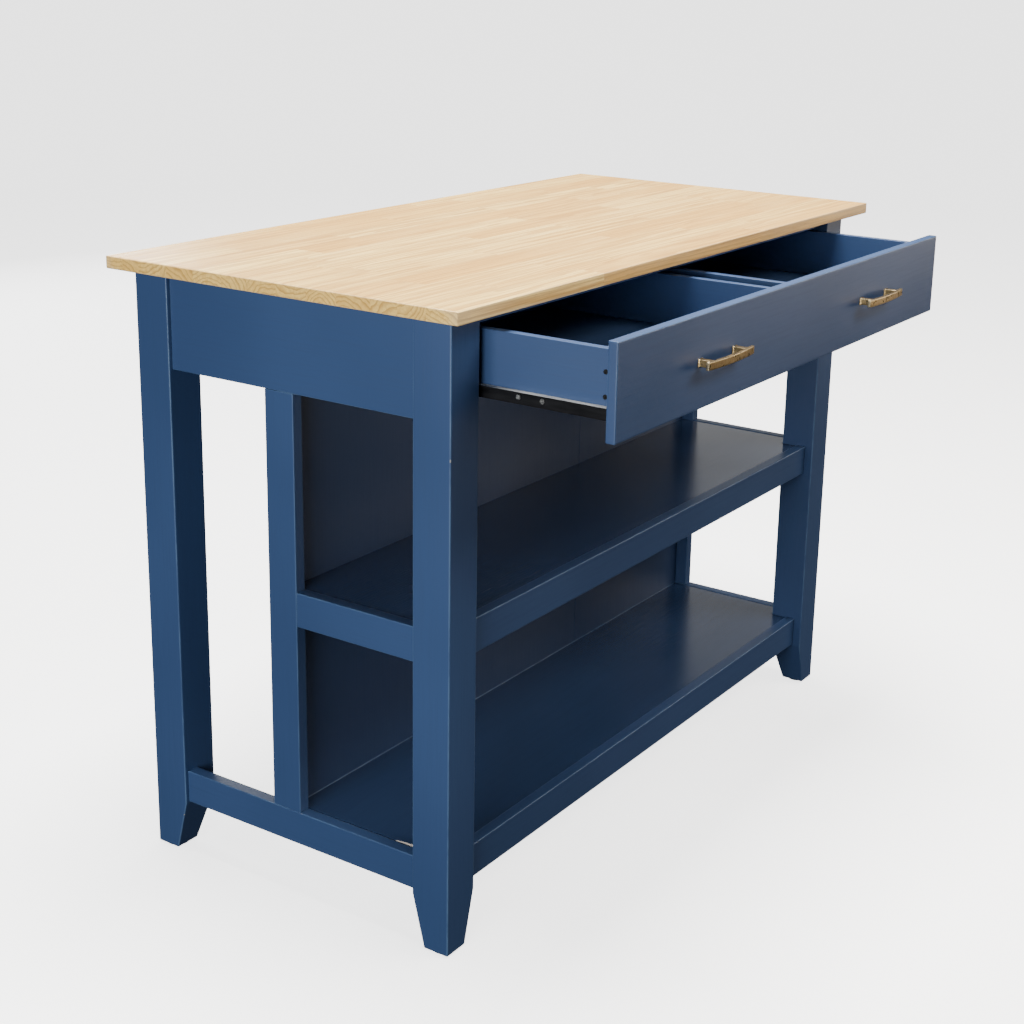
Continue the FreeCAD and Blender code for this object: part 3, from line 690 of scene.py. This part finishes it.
# ------------------------------------------------------------------ pulls
def pull(node):
    """Bowed bar on two square pegs, each flared where it meets the drawer."""
    lo, hi = (Vector(v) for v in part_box(node))
    cx, cz = (lo.x + hi.x) / 2, (lo.z + hi.z) / 2
    wall = hi.y
    h = (hi.x - lo.x) / 2
    bow = 0.004
    front = lo.y + bow                     # outer face at the bar's ends
    T, H, r = 0.005, hi.z - lo.z, 0.0009
    bm = bmesh.new()
    lay = bm.verts.layers.float.new("edge")

    def y_bow(x):
        return -bow * (1 - (x / h) ** 2)

    # bar: rounded rectangle carried along the bow
    def sect(inset):
        pts = []
        hy, hz = T / 2 - inset, H / 2 - inset
        rr = max(r - inset, 0.0003)
        for sy, sz, t0 in ((-1, -1, math.pi), (1, -1, 1.5 * math.pi), (1, 1, 0), (-1, 1, 0.5 * math.pi)):
            for k in range(4):
                t = t0 + math.pi / 2 * k / 3
                pts.append((sy * (hy - rr) + rr * math.cos(t), sz * (hz - rr) + rr * math.sin(t),
                            1.0 if 0 < k < 3 else 0.6))
        return pts

    def middle(pts):
        """Points along the flats, so the band of edge wear stays narrow."""
        out = []
        n = len(pts)
        for i in range(n):
            out.append(pts[i])
            if i % 4 == 3:
                a, b = pts[i], pts[(i + 1) % n]
                ln = math.hypot(b[0] - a[0], b[1] - a[1])
                k = min(0.0012 / ln, 0.45)
                out.append((a[0] + (b[0] - a[0]) * k, a[1] + (b[1] - a[1]) * k, 0.0))
                out.append((b[0] + (a[0] - b[0]) * k, b[1] + (a[1] - b[1]) * k, 0.0))
        return out

    stations = [(-h, r, 0.9), (-h + r * 0.3, r * 0.3, 1.0), (-h + r, 0, 0.6), (-h + 0.002, 0, 0)]
    inner = 24
    for k in range(1, inner):
        stations.append((-h + 0.002 + (2 * h - 0.004) * k / inner, 0, 0))
    stations += [(h - 0.002, 0, 0), (h - r, 0, 0.6), (h - r * 0.3, r * 0.3, 1.0), (h, r, 0.9)]
    rings = []
    for x, inset, e in stations:
        yc = front + T / 2 + y_bow(x)
        ring = []
        for py, pz, ea in middle(sect(inset)):
            v = bm.verts.new((cx + x, yc + py, cz + pz))
            v[lay] = max(e, ea)
            ring.append(v)
        rings.append(ring)
    n = len(rings[0])
    for a, b in zip(rings, rings[1:]):
        for i in range(n):
            j = (i + 1) % n
            bm.faces.new((a[i], a[j], b[j], b[i]))
    bm.faces.new(list(reversed(rings[0])))
    bm.faces.new(rings[-1])
    # pegs
    for d in (-1, 1):
        px = cx + d * 0.048
        y_in = front + T + y_bow(0.048) - 0.0006
        prof = [(wall, 0.0056, 0.0), (wall - 0.0010, 0.0056, 0.5), (wall - 0.0016, 0.0052, 0.2),
                (wall - 0.0028, 0.0049, 0), (y_in + 0.004, 0.0049, 0), (y_in, 0.0050, 0.0)]
        rings = []
        for y, hw, e in prof:
            ring = []
            rr = 0.0008
            for sx, sz, t0 in ((-1, -1, math.pi), (1, -1, 1.5 * math.pi), (1, 1, 0), (-1, 1, 0.5 * math.pi)):
                for k in range(4):
                    t = t0 + math.pi / 2 * k / 3
                    v = bm.verts.new((px + sx * (hw - rr) + rr * math.cos(t), y,
                                      cz + sz * (hw - rr) + rr * math.sin(t)))
                    v[lay] = 1.0 if 0 < k < 3 else max(e, 0.5)
                    ring.append(v)
            rings.append(ring)
        n = len(rings[0])
        for a, b in zip(rings, rings[1:]):
            for i in range(n):
                j = (i + 1) % n
                bm.faces.new((a[i], a[j], b[j], b[i]))
        bm.faces.new(rings[0])
        bm.faces.new(list(reversed(rings[-1])))
    return finish_piece(node + "_cast", bm, node, M["antique_brass"])


pull("pull_left")
pull("pull_right")

# ------------------------------------------------------------------ floor
g = Graph("pale_floor")
fn = g.noise(g.coord, 3.0, 3.0, 0.5)
floor_mat = g.finish(g.mix(g.ramp(fn, 0.3, 0.7), (0.84, 0.84, 0.84), (0.86, 0.86, 0.86)),
                     g.ramp(fn, 0.3, 0.7, 0.60, 0.66), Specular_IOR_Level=0.1,
                     Emission_Color=(1.0, 1.0, 1.0, 1.0), Emission_Strength=2.6)
# flat floor that turns up into a round backdrop far behind
bm = bmesh.new()
R_FLAT, R_TURN, SIDES = 6.5, 3.0, 96
prof = [(0.3, 0.0), (2.0, 0.0), (4.0, 0.0), (R_FLAT, 0.0)]
for k in range(1, 13):
    t = math.pi / 2 * k / 12
    prof.append((R_FLAT + R_TURN * math.sin(t), R_TURN * (1 - math.cos(t))))
prof.append((R_FLAT + R_TURN, 9.0))
rings = []
for rad, h in prof:
    rings.append([bm.verts.new((rad * math.cos(2 * math.pi * i / SIDES),
                                rad * math.sin(2 * math.pi * i / SIDES), h))
                  for i in range(SIDES)])
bm.faces.new(rings[0])
for lower, upper in zip(rings, rings[1:]):
    for i in range(SIDES):
        j = (i + 1) % SIDES
        bm.faces.new((lower[i], upper[i], upper[j], lower[j]))
bmesh.ops.recalc_face_normals(bm, faces=bm.faces)
me = bpy.data.meshes.new("floor")
bm.to_mesh(me)
bm.free()
for p in me.polygons:
    p.use_smooth = True
floor = bpy.data.objects.new("floor", me)
floor.location = (0.6, 0.4, -0.0005)
bpy.context.scene.collection.objects.link(floor)
me.materials.append(floor_mat)
floor.visible_diffuse = False
floor.visible_glossy = False

# ------------------------------------------------------------------ light
world = bpy.data.worlds.new("studio")
bpy.context.scene.world = world
world.use_nodes = True
bg = world.node_tree.nodes["Background"]
bg.inputs["Color"].default_value = (0.90, 0.95, 1.0, 1.0)
bg.inputs["Strength"].default_value = 0.05


def area(name, loc, target, size, power, color=(1, 1, 1)):
    la = bpy.data.lights.new(name, "AREA")
    la.shape = "RECTANGLE"
    la.size, la.size_y = size
    la.energy = power
    la.color = color
    ob = bpy.data.objects.new(name, la)
    bpy.context.scene.collection.objects.link(ob)
    ob.location = loc
    ob.rotation_euler = (Vector(target) - Vector(loc)).to_track_quat("-Z", "Y").to_euler()
    return ob


area("overhead", (0.0, 0.0, 3.7), (0, 0.05, 0.9), (1.8, 1.4), 405, (1.0, 0.985, 0.95))
area("left_window", (-3.0, -0.42, 0.98), (-0.2, 0.1, 0.60), (1.8, 1.2), 86, (0.94, 0.97, 1.0))
area("front_fill", (1.3, -3.1, 3.6), (0, 0, 0.6), (2.2, 1.4), 124, (1.0, 0.92, 0.84))
area("back_fill", (1.6, 4.4, 1.7), (0.2, 0, 0.6), (3.0, 1.8), 130, (0.98, 0.99, 1.0))
area("low_right", (3.6, -2.8, 0.9), (0, -0.3, 0.7), (2.4, 1.0), 46, (1.0, 0.91, 0.82))
area("rear_right", (4.9, 3.2, 2.0), (0.2, 0, 0.7), (3.6, 1.6), 12).visible_camera = False

# ------------------------------------------------------------------ camera
cam = bpy.data.cameras.new("camera")
cam.sensor_width = 36.0
cam.lens = 59.636
cam.shift_x = -0.03527
cam.shift_y = -0.08713
cam.clip_end = 100.0
co = bpy.data.objects.new("camera", cam)
bpy.context.scene.collection.objects.link(co)
az, el, roll = (math.radians(a) for a in (-56.94, 15.47, 1.29))
back = Vector((math.sin(az) * math.cos(el), -math.cos(az) * math.cos(el), math.sin(el)))
right = Vector((0, 0, 1)).cross(back).normalized()
up = back.cross(right)
c, s = math.cos(roll), math.sin(roll)
right2 = right * c + up * s
up2 = up * c - right * s
m = Matrix((right2, up2, back)).transposed().to_4x4()
m.translation = Vector((-2.20833, -1.37515, 1.31765))
co.matrix_world = m
bpy.context.scene.camera = co
